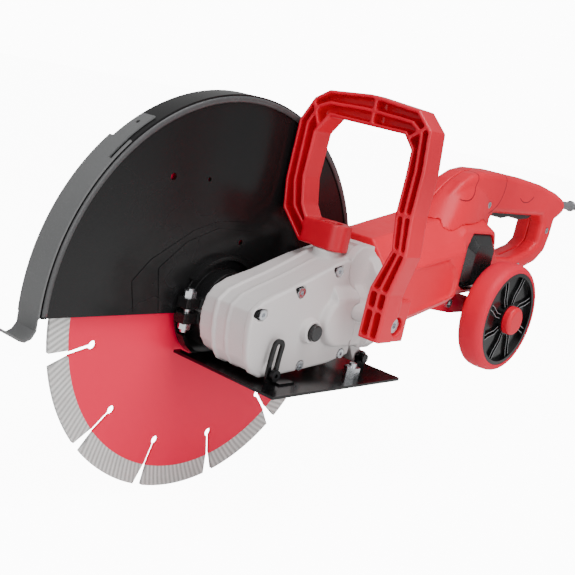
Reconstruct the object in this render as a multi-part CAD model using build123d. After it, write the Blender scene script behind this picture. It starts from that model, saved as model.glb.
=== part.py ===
from build123d import *
import math
import os

os.makedirs("parts", exist_ok=True)

# ---------------------------------------------------------------- dimensions
# millimetres; X forward (the way the saw is pushed), Y to the operator's left,
# Z up. Everything is laid out from the blade spindle axis (a line along Y)
# with y = 0 in the middle of the blade, then moved so that the top grip's
# centre is the origin.
GRIP = (-67.5, 95.0, 201.0)          # top grip centre, the origin of the row
BLADE_R = 177.5                      # 355 mm diamond blade
CORE_R = 158.1                       # steel core
CORE_T = 2.8
SEG_T = 3.4
SLOTS = 12
SLOT_A0 = 346.3                      # first cooling slot, degrees
KEY_R = 134.0                        # radius of the keyhole ends
BORE_R = 12.7                        # 25.4 mm arbor hole
GUARD_R = 192.2
GUARD_Y0, GUARD_Y1 = -17.7, 6.7      # outer faces of the guard
GUARD_T = 2.0
GUARD_Z = -5.0                       # lower edge of the guard
NECK_R = 30.0                        # gearbox neck that the guard turns on
MOD = 1.5                            # spur gear module
Z_SP, Z_IN = 40, 32                  # spindle gear and intermediate pinion
XI, ZI = -49.3, 22.03                # intermediate shaft axis
YM = 62.0                            # plane of the motor axis
TILT = math.radians(14.5)            # motor axis rises toward the rear
BZ_G, BZ_P, BMOD = 33, 10, 2.0       # bevel gear, bevel pinion, module
PLATE_Z1, PLATE_Z0 = -39.6, -42.1    # base plate top and underside
HINGE = (-118.0, -27.0)              # base plate hinge axis (x, z)
WHEEL_X, WHEEL_Z = -300.0, 18.95
WHEEL_R, HUB_R = 58.5, 50.5
AXLE_R = 6.0
FLOOR_Z = -BLADE_R                   # the level the cord lies on
CORD_D = 8.5
CORD_R = CORD_D / 2


def out(name, shape):
    moved = Pos(-GRIP[0], -GRIP[1], -GRIP[2]) * shape
    export_step(moved, "parts/%s.step" % name)
    print("%-24s %9.0f mm3" % (name, shape.volume))


def cyl(r, y0, y1, x=0.0, z=0.0):
    return Pos(x, (y0 + y1) / 2, z) * Rot(90, 0, 0) * Cylinder(r, abs(y1 - y0))


def cone(r0, r1, y0, y1, x=0.0, z=0.0):
    # radius r0 at y0 and r1 at y1
    return Pos(x, (y0 + y1) / 2, z) * Rot(-90, 0, 0) * Cone(r0, r1, y1 - y0)


def tube(ro, ri, y0, y1, x=0.0, z=0.0):
    return cyl(ro, y0, y1, x, z) - cyl(ri, y0 - 1, y1 + 1, x, z)


def zcyl(r, z0, z1, x, y):
    return Pos(x, y, (z0 + z1) / 2) * Cylinder(r, z1 - z0)


def box(x0, x1, y0, y1, z0, z1):
    return Pos((x0 + x1) / 2, (y0 + y1) / 2, (z0 + z1) / 2) * Box(abs(x1 - x0), abs(y1 - y0), abs(z1 - z0))


def face_xz(pts, y):
    return make_face(Polyline(*[(p[0], y, p[1]) for p in pts], close=True))


def prism(pts, y0, y1):
    return extrude(face_xz(pts, y0), amount=y1 - y0, dir=(0, 1, 0))


def prism_yz(pts, x0, x1):
    f = make_face(Polyline(*[(x0, p[0], p[1]) for p in pts], close=True))
    return extrude(f, amount=x1 - x0, dir=(1, 0, 0))


def hexy(af, y0, y1, x, z):
    r = af / math.sqrt(3)
    pts = [(x + r * math.cos(math.radians(60 * k + 30)), z + r * math.sin(math.radians(60 * k + 30))) for k in range(6)]
    return prism(pts, y0, y1)


def hexz(af, z0, z1, x, y):
    r = af / math.sqrt(3)
    pts = [(x + r * math.cos(math.radians(60 * k)), y + r * math.sin(math.radians(60 * k)), z0) for k in range(6)]
    return extrude(make_face(Polyline(*pts, close=True)), amount=z1 - z0, dir=(0, 0, 1))


def soften(shape, edges, radii):
    for r in radii:
        try:
            s = fillet(edges, r)
            if s.is_valid and s.volume > 0.6 * shape.volume:
                return s
        except Exception:
            pass
    return shape


# motor frame: local z runs along the motor axis toward the rear
AX = (-math.cos(TILT), 0.0, math.sin(TILT))
MOTOR = Plane(origin=(XI, YM, ZI), x_dir=(0, 1, 0), z_dir=AX)


def mcyl(r, s0, s1):
    return MOTOR * (Pos(0, 0, (s0 + s1) / 2) * Cylinder(r, s1 - s0))


def mtube(ro, ri, s0, s1):
    return MOTOR * (Pos(0, 0, (s0 + s1) / 2) * (Cylinder(ro, s1 - s0) - Cylinder(ri, s1 - s0 + 2)))


def mbox(u0, u1, v0, v1, s0, s1):
    return MOTOR * (Pos((u0 + u1) / 2, (v0 + v1) / 2, (s0 + s1) / 2) * Box(u1 - u0, v1 - v0, s1 - s0))


def mpos(s):
    return XI + AX[0] * s, YM, ZI + AX[2] * s


# ---------------------------------------------------------------- gears
def spur_points(m, z, phase, backlash=0.16, n=3):
    pa = math.radians(20)
    rp = m * z / 2
    rb = rp * math.cos(pa)
    ra = rp + m * 0.95
    rf = rp - 1.25 * m
    inv = math.tan(pa) - pa
    half = math.pi / (2 * z) - backlash / (2 * rp)
    pts = []
    r0 = max(rb + 0.02, rf + 0.1)
    for k in range(z):
        c = phase + 2 * math.pi * k / z
        flank = []
        for i in range(n):
            r = r0 + (ra - r0) * i / (n - 1)
            a = math.acos(min(1.0, rb / r))
            th = half + inv - (math.tan(a) - a)
            flank.append((r, th))
        th0 = flank[0][1] + 0.02
        pts.append((rf * math.cos(c - th0), rf * math.sin(c - th0)))
        for r, th in flank:
            pts.append((r * math.cos(c - th), r * math.sin(c - th)))
        for r, th in reversed(flank):
            pts.append((r * math.cos(c + th), r * math.sin(c + th)))
        pts.append((rf * math.cos(c + th0), rf * math.sin(c + th0)))
    return pts


def trap(plane_o, n, e, c, w_root, w_tip, h0, h1):
    # trapezoid with centre plane_o: e is across the tooth, n is up the tooth
    pts = []
    for (w, h) in ((-w_root, h0), (w_root, h0), (w_tip, h1), (-w_tip, h1)):
        pts.append(tuple(plane_o[i] + e[i] * w + n[i] * h for i in range(3)))
    return make_face(Polyline(*pts, close=True))


def bevel(zc, zo, axis_plane, phase, face_w, back, hub_r, bore_r, w_frac):
    """A straight bevel gear of zc teeth meshing with one of zo teeth, in a
    frame whose origin is the pitch apex and whose local z is the gear's axis,
    the teeth narrowing toward the apex."""
    r = BMOD * zc / 2
    d = math.atan2(zc, zo)                       # pitch cone half angle
    R = r / math.sin(d)                          # cone distance
    Ri = R - face_w
    # root cone body
    ded = 1.2 * BMOD
    pr = []
    for rr in (Ri, R):
        k = rr / R
        x = rr * math.sin(d) - ded * k * math.cos(d)
        y = rr * math.cos(d) + ded * k * math.sin(d)
        pr.append((x, y))
    prof = [(bore_r, pr[0][1]), pr[0], pr[1], (pr[1][0], back - 3 if back - 3 > pr[1][1] + 0.5 else back), (hub_r, back), (bore_r, back)]
    if prof[3][1] == back:
        prof = [(bore_r, pr[0][1]), pr[0], pr[1], (pr[1][0], back), (bore_r, back)]
    f = make_face(Polyline(*[(p[0], 0, p[1]) for p in prof], close=True))
    body = revolve(f, axis=Axis.Z, revolution_arc=360)
    pitch = 2 * math.pi * r / zc
    w0 = pitch * w_frac / 2
    teeth = []
    for k in range(zc):
        ph = phase + 2 * math.pi * k / zc
        rad = (math.cos(ph), math.sin(ph), 0)
        e = (-math.sin(ph), math.cos(ph), 0)
        # normal to the pitch cone, away from the root side
        n = tuple(rad[i] * math.cos(d) for i in range(2)) + (-math.sin(d),)
        fs = []
        for rr in (Ri, R):
            q = rr / R
            o = (rad[0] * rr * math.sin(d), rad[1] * rr * math.sin(d), rr * math.cos(d))
            fs.append(trap(o, n, e, None, (w0 + 0.45 * ded) * q, (w0 - 0.30 * BMOD) * q, -ded * q * 1.15, 0.85 * BMOD * q))
        teeth.append(loft(fs, ruled=True))
    body = body.fuse(*teeth) if hasattr(body, "fuse") else body + teeth
    if isinstance(body, ShapeList):
        body = body[0]
    return axis_plane * body


# ---------------------------------------------------------------- spindle group
dirz = math.atan2(ZI, XI)
spindle = (cyl(BORE_R, -6.0, 4.0) + cyl(15, 4.0, 36.5) + cyl(14, 36.5, 51) + cyl(9, 51, 76.5) + cyl(5, 76.5, 87)
           - cyl(5, -7, 22))
out("spindle", spindle)

blade = cyl(CORE_R, -CORE_T / 2, CORE_T / 2) - cyl(BORE_R, -3, 3)
seg = tube(BLADE_R, CORE_R, -SEG_T / 2, SEG_T / 2)
cuts = []
wedges = []
for k in range(SLOTS):
    a = math.radians(SLOT_A0 - 30 * k)
    c, s = math.cos(a), math.sin(a)

    def pt(r, w):
        return (r * c - w * s, r * s + w * c)
    cuts.append(cyl(4.0, -3, 3, KEY_R * c, KEY_R * s))
    cuts.append(prism([pt(KEY_R, -1.9), pt(CORE_R + 3, -1.9), pt(CORE_R + 3, 1.9), pt(KEY_R, 1.9)], -3, 3))
    wedges.append(prism([pt(CORE_R - 2, -2.4), pt(BLADE_R + 2, -6.2), pt(BLADE_R + 2, 6.2), pt(CORE_R - 2, 2.4)], -4, 4))
blade = blade.cut(*cuts) if hasattr(blade, "cut") else blade - cuts
out("blade_core", blade)
seg = seg - wedges
out("blade_segments", seg)

inner_flange = cyl(32, 1.45, 3.8) + cyl(20, 3.8, 9.0) - cyl(15, 4.0, 10) - cyl(BORE_R, 0, 4.0)
outer_flange = cyl(32, -6.0, -1.45) + cone(15, 24, -8.5, -6.0) - cyl(BORE_R, -6.0, 0) - cyl(5, -9, 0)
out("blade_flanges", Compound(children=[inner_flange, outer_flange]))
arbor_bolt = hexy(17, -16.5, -10.3, 0, 0) + cyl(12, -10.3, -8.5) + cyl(5, -8.5, 20)
arbor_bolt = arbor_bolt - cyl(3.2, -17, -13)
out("arbor_bolt", arbor_bolt)
sg = prism(spur_points(MOD, Z_SP, dirz), 38.5, 49.5) - cyl(14, 38, 50)
for k in range(6):
    a = math.radians(60 * k)
    sg = sg - cyl(3.6, 38, 50, 20.5 * math.cos(a), 20.5 * math.sin(a))
out("spindle_gear", sg)

# ---------------------------------------------------------------- intermediate shaft
inter = cyl(5, 30.8, 38) + cyl(9, 38, 82.6) + cyl(5, 82.6, 91)
inter = Pos(XI, 0, ZI) * inter
out("intermediate_shaft", inter)
sp = Pos(XI, 0, ZI) * (prism(spur_points(MOD, Z_IN, dirz + math.pi + math.pi / Z_IN), 38.5, 49.5) - cyl(9, 38, 50))
out("intermediate_pinion", sp)
# bevel gear: apex at the crossing of the two axes, axis +Y, crown toward the motor
a_mot = math.atan2(-AX[2], AX[0])
G_PLANE = Plane(origin=(XI, YM, ZI), x_dir=(1, 0, 0), z_dir=(0, 1, 0))   # local y = -Z
bg = bevel(BZ_G, BZ_P, G_PLANE, a_mot + math.pi / BZ_G, 11.0, 20.0, 14.0, 9.0, 0.40)
LOCK = (-28.0, 4.0)
lock_r = math.hypot(LOCK[0] - XI, LOCK[1] - ZI)
lock_a = math.atan2(LOCK[1] - ZI, LOCK[0] - XI)
bg = bg - [cyl(3.4, 74, 84, XI + lock_r * math.cos(lock_a + k * math.pi / 3), ZI + lock_r * math.sin(lock_a + k * math.pi / 3)) for k in range(6)]
out("bevel_gear", bg)

# ---------------------------------------------------------------- motor shaft group
P_PLANE = MOTOR
bp = bevel(BZ_P, BZ_G, P_PLANE, 0.0, 11.0, 40.0, 6.0, 5.0, 0.34)
out("bevel_pinion", bp)
shaft = mcyl(5, 24, 66.5) + mcyl(6.5, 66.5, 197.6) + mcyl(5, 197.6, 207)
out("armature_shaft", shaft)
core = mcyl(22, 106, 156) - mcyl(6.5, 100, 160)
core = core - [MOTOR * (Rot(0, 0, 30 * k) * (Pos(19.5, 0, 131) * Box(7, 2.6, 60))) for k in range(12)]
out("armature_core", core)
wind = mtube(20, 6.5, 96, 106) + mtube(19, 6.5, 156, 166)
out("armature_windings", wind)
comm = mcyl(13, 168, 188) - mcyl(6.5, 160, 190)
comm = comm - [MOTOR * (Rot(0, 0, 15 * k) * (Pos(13, 0, 178) * Box(2.4, 0.6, 30))) for k in range(24)]
out("commutator", comm)
fan = mcyl(32, 74, 76) + mcyl(10, 72, 86)
for k in range(12):
    fan = fan + MOTOR * (Rot(0, 0, 30 * k) * (Pos(21, 0, 80.5) * Rot(0, 0, 24) * Box(21, 1.8, 9.4)))
fan = fan - mcyl(6.5, 60, 100)
out("cooling_fan", fan)

# ---------------------------------------------------------------- stationary motor parts
stator = mtube(34.5, 30, 104, 158)
for sgn in (1, -1):
    pole = mtube(30.2, 22.9, 104, 158) & (MOTOR * (Pos(0, sgn * 28, 131) * Box(34, 24, 54)))
    stator = stator + pole
out("stator_core", stator)
coils = None
for sgn in (1, -1):
    c = (mtube(29.6, 23.2, 98, 164) & (MOTOR * (Pos(sgn * 26, 0, 131) * Box(18, 21, 66))))
    coils = c if coils is None else coils + c
out("field_coils", coils)
holders = None
brushes = None
for sgn in (1, -1):
    h = mbox(min(sgn * 14.2, sgn * 34.0), max(sgn * 14.2, sgn * 34.0), -6, 6, 171, 185) - mbox(min(sgn * 10, sgn * 32), max(sgn * 10, sgn * 32), -4, 4, 173.5, 182.5)
    b = mbox(min(sgn * 13.3, sgn * 28), max(sgn * 13.3, sgn * 28), -3.9, 3.9, 173.6, 182.4)
    holders = h if holders is None else holders + h
    brushes = b if brushes is None else brushes + b
out("brush_holders", holders)
out("carbon_brushes", brushes)


def bearing(ro, ri, y0, y1, x=0.0, z=0.0):
    b = tube(ro, ri, y0, y1, x, z)
    g = tube((ro + ri) / 2 + (ro - ri) * 0.16, (ro + ri) / 2 - (ro - ri) * 0.16, y0 - 1, y0 + 1.2, x, z)
    g2 = tube((ro + ri) / 2 + (ro - ri) * 0.16, (ro + ri) / 2 - (ro - ri) * 0.16, y1 - 1.2, y1 + 1, x, z)
    return b - g - g2


RUN = 0.05                            # running clearance of shafts in bearings
out("gear_bearings", Compound(children=[bearing(24, 15 + RUN, 14, 28), bearing(13, 5 + RUN, 78, 86),
                                        bearing(13, 5 + RUN, 30.8, 37.6, XI, ZI), bearing(13, 5 + RUN, 83, 91, XI, ZI)]))
out("motor_bearings", Compound(children=[mtube(13, 5 + RUN, 56, 65) - mtube(10.2, 7.6, 63.6, 66) - mtube(10.2, 7.6, 55, 57.4),
                                         mtube(11, 5 + RUN, 198, 207) - mtube(9, 7, 197, 199.4) - mtube(9, 7, 205.6, 208)]))

# ---------------------------------------------------------------- gear housing
A2 = [(45.5, -8), (41, -21), (33, -31), (23, -35), (3, -34.5), (-25, -32.5), (-66, -29), (-112, -18.5), (-112, 80),
      (-85, 73.5), (-54, 63.5), (-8, 45.5), (22, 35.5), (37, 29.5), (46.5, 21), (47.5, 8)]
A1 = [(41, -8), (37, -19), (30, -27.5), (21, -32.6), (3, -32.4), (-25, -30.4), (-66, -27), (-112, -17), (-112, 70),
      (-88, 66), (-57, 58), (-10, 42), (19, 34), (32, 27), (39, 19), (42, 6)]
C2 = [(42, -8), (37.6, -19.5), (31, -28), (22, -31.8), (3, -31.6), (-25, -29.4), (-66, -25.6), (-103, -17), (-103, 72),
      (-85, 68.5), (-54, 59), (-8, 41.5), (20, 32), (35, 26), (43, 19), (44, 8)]
C1 = [(38, -8), (34.6, -17.5), (28.6, -25), (20.6, -31.7), (-3, -31.7), (-25, -27.4), (-66, -24), (-103, -14), (-103, 64),
      (-88, 61), (-57, 54), (-10, 38), (18, 30), (29, 24), (36, 17), (38, 6)]
gh = prism(A1, 30, 53) + prism(A2, 52, 88)
# flanges at the split lines of the casing
A2F = A2[:7] + [(-104, -20), (-104, 77)] + A2[9:]
for (grow, y0, y1) in ((1.4, 49.6, 53.2), (0.8, 66.0, 68.0)):
    gh = gh + (extrude(offset(face_xz(A2F, y0), amount=grow, kind=Kind.INTERSECTION), amount=y1 - y0, dir=(0, 1, 0)) - box(-81, -54, 40, 90, 71.5, 95))
# rear block toward the motor, full width of the motor flange
rear = prism_yz([(16, 4), (16, 56), (30, 72), (44, 79.5), (80, 79.5), (96, 70), (108, 56), (112, 44), (112, -6), (104, -14), (26, -14)], -112, -97)
gh = gh + rear
flat_end = box(-98, -84, 86, 104, -12, 36)
flat_end = soften(flat_end, flat_end.edges().filter_by(Axis.X).sort_by(Axis.Y)[-2:], [4.0, 3.0])
gh = gh + flat_end + prism_yz([(94, 45), (103.6, 34.0), (103.6, 20), (94, 20)], -98, -84)
# round boss behind the top corner of the cover
gh = gh + (cyl(21.0, 85, 94.4, -91, 60) & box(-112, -66, 80, 100, 30, 82))
# boss for the side leg of the top handle, and for the foot of the other leg
BOLT = (-82.0, 22.0)
SIDE_POST = cyl(7.2, 90, 127.5, BOLT[0], BOLT[1]) + box(-98, -84, 90, 127.5, 13, 31)
gh = gh + SIDE_POST
FOOT = (-66.0, 68.0)
gh = gh + zcyl(13.0, 57.5, 71.6, FOOT[0], FOOT[1])
# neck that carries the guard
gh = gh + cyl(NECK_R, 4.3, 31)
# hinge lugs of the base plate
for (y0, y1) in ((40, 54), (78, 92)):
    gh = gh + cyl(7, y0, y1, *HINGE) + prism([(HINGE[0] - 6.8, HINGE[1] + 1), (HINGE[0] + 5.6, HINGE[1] - 4), (-100, -14), (-112, -10)], y0, y1)
cav = prism(C2, 51, 90) + prism(C1, 34, 52)
gh = gh - cav
gh = gh - prism(C2, 51, 90)
gh = gh + SIDE_POST
gh = gh - cyl(34.3, 60, 80, XI, ZI)
gh = gh + zcyl(12.0, 57.5, 71.6, FOOT[0], FOOT[1])
# bearing seats
gh = gh - cyl(24, 12, 28) - cyl(24, 4, 12.5) - cyl(16.2, 27, 40)
gh = gh + tube(16.5, 13, 31, 37.6, XI, ZI)
gh = gh - cyl(13, 30.8, 39, XI, ZI) 
gh = gh + cyl(16, 29, 30.8, XI, ZI)
gh = gh + (mtube(18, 13, 54, 66) & box(-112, -80, 20, 110, -10, 80))
gh = gh - mcyl(13, 56, 80) - mcyl(10, 50, 60) - mcyl(6.6, 40, 80)
# room for the fan side, holes and bolt shanks
gh = gh - cyl(4.0, 104, 131, BOLT[0], BOLT[1]) - zcyl(3.0, 60, 73, FOOT[0], FOOT[1])
gh = gh - [cyl(3.3, y0 - 1, y1 + 1, *HINGE) for (y0, y1) in ((40, 54), (78, 92))]
# screw towers for the cover
SCREWS = [(36.2, 20.2), (-8.7, 38.6), (-55.6, 57.2), (-27.8, -29.2), (-85.0, -21.8)]
for (x, z) in SCREWS:
    gh = gh + (cyl(4.6, 83.4, 88, x, z) & prism(A2, 50, 88)) - cyl(2.1, 76, 89, x, z)
if isinstance(gh, ShapeList):
    gh = Compound(children=list(gh))
out("gear_housing", gh)

# front cover: follows the box outline, chamfered front edge, three recessed
# screws along the sloping top edge and two along the bottom
A3 = [(47, -8), (42.5, -22), (34.5, -32), (24, -36.5), (3, -36), (-25, -34), (-66, -30.2), (-96.8, -23), (-96.8, 36), (-88, 52),
      (-76, 66), (-66, 68.5), (-54, 65.2), (-8, 47.2), (22, 37), (38, 31), (48.5, 22), (49.5, 8)]
cover = prism(A3, 88, 95)
cover = soften(cover, cover.faces().sort_by(Axis.Y)[-1].edges(), [2.2, 1.5, 1.0])
# hollow bulge over the bevel gear's shaft end
bulge = cyl(24.0, 93, 104, -66, 12) + box(-83.8, -66, 93, 104, -12, 36)
bulge = soften(bulge, bulge.faces().sort_by(Axis.Y)[-1].edges().sort_by(Axis.X)[1:], [4.0, 3.0, 2.0])
cover = cover + bulge + prism_yz([(94, 45), (103.6, 34.0), (103.6, 20), (94, 20)], -83.8, -52) - cyl(19.5, 86, 99.5, -66, 12)
cover = cover + cyl(16.5, 83.2, 95.0, XI, ZI) + cyl(15.3, 78.5, 88.5, 0, 0) + cyl(11.0, 88, 102, LOCK[0], LOCK[1])
cover = cover - box(-99, -83.8, 86, 105, -14.3, 46) - cyl(7.5, 80, 130, BOLT[0], BOLT[1]) - cyl(21.3, 80, 100, -91, 60)
cover = cover - cyl(13, 82, 91, XI, ZI) - cyl(13, 77, 86, 0, 0) - cyl(5.4, 77, 88, 0, 0)
cover = cover - cyl(3.1, 80, 103, LOCK[0], LOCK[1]) - cyl(7.6, 94.0, 104, LOCK[0], LOCK[1])
for (x, z) in SCREWS:
    cover = cover - cyl(5.2, 91.5, 97, x, z) - cyl(2.3, 86, 96, x, z)
# wedge-shaped pockets beside the three top screws
POCKETS = [[(43.4, 26.2), (31.4, 24.4), (30.4, 17.6), (38.8, 14.6), (46.4, 16.4), (47.2, 21.6)],
           [(1.2, 43.0), (-11.6, 45.2), (-15.4, 38.0), (-9.8, 33.4), (-2.0, 38.0)],
           [(-46.4, 60.4), (-60.0, 63.4), (-61.6, 56.0), (-56.4, 51.8), (-49.0, 56.2)]]
for pk in POCKETS:
    cover = cover - prism(pk, 92.6, 97)
SLOT_S = (17.0, -31.0)
cover = cover + (cyl(6.0, 94, 99.4, 17.0, -29.0) & box(0, 40, 90, 100, -36.3, 0)) - cyl(2.6, 86, 101, *SLOT_S)
if isinstance(cover, ShapeList):
    cover = Compound(children=sorted(cover, key=lambda q: -q.volume)[:1])
out("gear_cover", cover)
screws = []
for (x, z) in SCREWS:
    screws.append(cyl(4.4, 91.5, 95.2, x, z) + cyl(2.05, 82.5, 91.5, x, z) - hexy(3.6, 93, 96, x, z))
out("cover_screws", Compound(children=screws))

# spindle lock button with its pin
lock = cyl(7.4, 98.5, 106.0, *LOCK) + cyl(3.0, 85.4, 98.5, *LOCK)
lock = soften(lock, lock.edges().sort_by(Axis.Y)[-1:], [1.0, 0.6])
out("spindle_lock_button", lock)

# ---------------------------------------------------------------- guard
lowcut = box(-260, 260, -40, 30, -300, GUARD_Z)
g_out = cyl(GUARD_R, GUARD_Y0, GUARD_Y1)
bead = tube(190.8, 185.4, GUARD_Y1 - 1, GUARD_Y1 + 1.7)
bead = soften(bead, bead.faces().sort_by(Axis.Y)[-1].edges(), [1.4, 1.0])
g_out = g_out + bead
g_in = cyl(GUARD_R - GUARD_T, GUARD_Y0 + GUARD_T, GUARD_Y1 - GUARD_T)
guard = g_out - g_in - lowcut
guard = guard + cyl(48.5, GUARD_Y1 - GUARD_T, GUARD_Y1)
guard = guard + tube(48.5, 45.0, GUARD_Y1 - 1, 14.0)
guard = guard - cyl(42.0, GUARD_Y0 - 1, GUARD_Y0 + GUARD_T + 1)
guard = guard - cyl(NECK_R + 0.08, GUARD_Y1 - 4, GUARD_Y1 + 9)
# the rim of the cup is open at the front, over the clamp bolt
guard = guard - box(30, 60, 6.7, 15, -24, 27)
# small holes in the side plate
guard = guard - (cyl(3.2, 0, 10, 80.8, 114.5)) - cyl(2.0, 0, 10, 38.5, 115) - cyl(2.6, 0, 10, -16.6, 60)
# reinforcement ribs pressed in the side plate round the hub
ribs = []
for path in ([(68, -3), (77, 35), (50, 58), (15, 71), (-31, 69)], [(97, -2), (104, 24), (88, 42), (45, 68), (17, 77), (-20, 78)]):
    for p, q in zip(path[:-1], path[1:]):
        L = math.hypot(q[0] - p[0], q[1] - p[1])
        n = (-(q[1] - p[1]) / L * 1.5, (q[0] - p[0]) / L * 1.5)
        ribs.append(prism([(p[0] + n[0], p[1] + n[1]), (q[0] + n[0], q[1] + n[1]), (q[0] - n[0], q[1] - n[1]), (p[0] - n[0], p[1] - n[1])], 6.5, 7.3))
    for p in path[1:-1]:
        ribs.append(cyl(1.5, 6.5, 7.3, p[0], p[1]))
guard = guard + ribs
guard = guard - lowcut + (cyl(48.5, GUARD_Y1 - GUARD_T, GUARD_Y1) & box(-60, 60, 0, 20, -60, GUARD_Z)) + (tube(48.5, 45.0, GUARD_Y1 - 1, 14.0) & box(-60, 60, 0, 20, -60, GUARD_Z))
guard = guard - cyl(NECK_R + 0.08, GUARD_Y1 - 4, GUARD_Y1 + 9) - box(30, 60, 6.7, 15, -24, 27)
if isinstance(guard, ShapeList):
    guard = Compound(children=list(guard))
out("guard_shell", guard)

# clamp collar behind the guard plate, split at the front, with two lugs
collar = tube(36.5, NECK_R + 0.08, 9.0, 24.0) + box(34, 52, 10, 22, -11, 12)
collar = collar - cyl(NECK_R + 0.08, 8, 25) - box(28, 54, 8, 25, -1.5, 2.5) - zcyl(3.1, -20, 20, 44.5, 16)
collar = collar + tube(44.9, 31.5, 6.7, 9.0) - box(28, 54, 6, 25, -1.5, 2.5)
if isinstance(collar, ShapeList):
    collar = Compound(children=list(collar))
out("guard_collar", collar)
cb = zcyl(3.0, -19.5, 20, 44.5, 16) + hexz(10, 12.0, 18.0, 44.5, 16)
nut = hexz(10, -16.5, -11.0, 44.5, 16) - zcyl(3.0, -18, -10, 44.5, 16)
out("guard_clamp_bolt", Compound(children=[cb, nut]))

# sliding front sleeve on the rim, with a narrower tab and a turned-out lip
EXT_I, EXT_O = 192.6, 194.1
Y0e, Y1e = -19.1, 8.0


def sector(a0, a1, r, y0, y1):
    pts = [(0, 0)] + [(r * math.cos(math.radians(a0 + (a1 - a0) * i / 12)), r * math.sin(math.radians(a0 + (a1 - a0) * i / 12))) for i in range(13)]
    return prism(pts, y0, y1)


wide = sector(-1.5, 46.2, 260, Y0e - 1, Y1e + 1)
tabw = sector(46.1, 56.0, 260, -14.0, 1.5)
sleeve = tube(EXT_O, EXT_I, Y0e, Y1e) + tube(EXT_I + 0.1, 186.9, Y0e, Y0e + 1.1)
sl1 = sleeve & wide
sl2 = tube(EXT_O, EXT_I, -14.0, 1.5) & tabw
hook = prism([(192.6, -4.6), (194.1, -4.6), (194.1, -14.6), (197.6, -19.8), (202.2, -22.0), (206.6, -20.6), (226.4, -10.0), (227.2, -11.4),
              (207.2, -22.3), (202.0, -23.7), (196.0, -21.2), (192.6, -15.0)], Y0e + 1, Y1e - 1)
ext = sl1 + sl2 + hook
ext = ext - cyl(2.2, -30, 30, 0, 0)
a_h = math.radians(52.5)
ext = ext - (Pos(193.4 * math.cos(a_h), -7.0, 193.4 * math.sin(a_h)) * Rot(0, 90 - 52.5, 0) * Cylinder(2.0, 12))
a_s = math.radians(43.0)
ext = ext - (Pos(194 * math.cos(a_s), 4.2, 194 * math.sin(a_s)) * Rot(0, 90 - 43.0, 0) * Box(22, 4.0, 12))
if isinstance(ext, ShapeList):
    ext = Compound(children=[q for q in ext if q.volume > 20])
out("guard_extension", ext)

# ---------------------------------------------------------------- motor housing


def section(x, hw, zt, zb, a=0.40, b=0.81, c=0.24, d=0.34):
    H = zt - zb
    half = [(a * hw, zt), (b * hw, zt - c * H), (hw, zt - d * H), (hw, zb + 0.12 * H), (0.84 * hw, zb)]
    pts = [(x, YM + p[0], p[1]) for p in half] + [(x, YM - p[0], p[1]) for p in reversed(half)]
    return make_face(Polyline(*pts, close=True))


S1 = section(-112, 50, 85.5, -3)
S2 = section(-231, 53, 112, 27, 0.42, 0.84, 0.20, 0.32)
S3 = section(-243, 46, 113.5, 32, 0.50, 0.93, 0.13, 0.30)
S4 = section(-300, 45, 114, 37, 0.50, 0.93, 0.13, 0.30)
S5 = section(-314, 39, 110, 43, 0.50, 0.93, 0.13, 0.30)
mh_out = loft([S1, S2], ruled=True) + loft([S2, S3], ruled=True) + loft([S3, S4], ruled=True) + loft([S4, S5], ruled=True)
VENT = [(-247, 46), (-247, 88), (-257, 100), (-297, 100), (-305, 92), (-305, 50), (-297, 41), (-257, 41)]
mh = mh_out - mcyl(35.0, 60, 194) - mcyl(27, 190, 197) - mcyl(11, 196, 207) - mcyl(7, 205, 214)
# rear hollow where the leads and the intake air pass
mh = mh - (loft([section(-262, 31, 103, 47), section(-306, 29, 101, 50)], ruled=True))
mh = mh - prism(VENT, 97, 125) - prism(VENT, -1, 27)
# intake grille openings behind the side covers
for z in (54, 64, 74, 84):
    mh = mh - box(-294, -266, 20, 104, z - 1.8, z + 1.8)
# shallow side panel
PANEL = [(-127, 44), (-147, 64), (-206, 74), (-221, 65), (-229, 55), (-229, 42), (-222, 36), (-142, 14), (-130, 14)]
mh = mh - prism(PANEL, 111.8, 118) - prism(PANEL, 6, 12.2)
if isinstance(mh, ShapeList):
    mh = Compound(children=sorted(mh, key=lambda q: -q.volume)[:1])
out("motor_housing", mh)

# faceted black side covers over the intake, with short slots at the rear edge
VENT_FACE = [(-262, 52), (-262, 80), (-267, 89), (-292, 89), (-298, 84), (-298, 54), (-292, 47), (-267, 47)]
vents = []
for sd in (1, -1):
    y0 = YM + sd * 35
    y1 = YM + sd * 48.5
    ym = y0 + sd * 5.0
    v = prism(VENT, min(y0, ym), max(y0, ym))
    f1 = make_face(Polyline(*[(p[0], ym, p[1]) for p in VENT], close=True))
    f2 = make_face(Polyline(*[(p[0], y1, p[1]) for p in VENT_FACE], close=True))
    v = v + loft([f1, f2], ruled=True)
    for z in (56, 64, 72):
        v = v - box(-303, -297.5, min(y0, y1) - 1, max(y0, y1) + 1, z - 1.4, z + 1.4)
    vents.append(v)
out("vent_covers", Compound(children=vents))

# ---------------------------------------------------------------- rear handle
HO = [(-208, 96), (-212, 106), (-243, 138), (-256, 149), (-274, 158), (-294, 162.5), (-336, 163.5), (-384, 161.5), (-437, 157),
      (-479, 150), (-500, 144), (-507, 138), (-507, 128), (-498, 122), (-488, 117), (-487, 96), (-482, 78), (-464, 64), (-435, 55), (-380, 49),
      (-318, 44), (-300, 44)]
HI = [(-334, 119), (-327, 109), (-350, 95), (-361, 78), (-368, 69.5), (-404, 68.5), (-445, 79), (-458, 88), (-459, 112), (-452, 120)]
hb = prism(HO, 43, 81) - prism(HI, 30, 90)
hb = soften(hb, hb.faces().sort_by(Axis.Y)[-1].edges() + hb.faces().sort_by(Axis.Y)[0].edges(), [9, 7, 5, 3])
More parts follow.
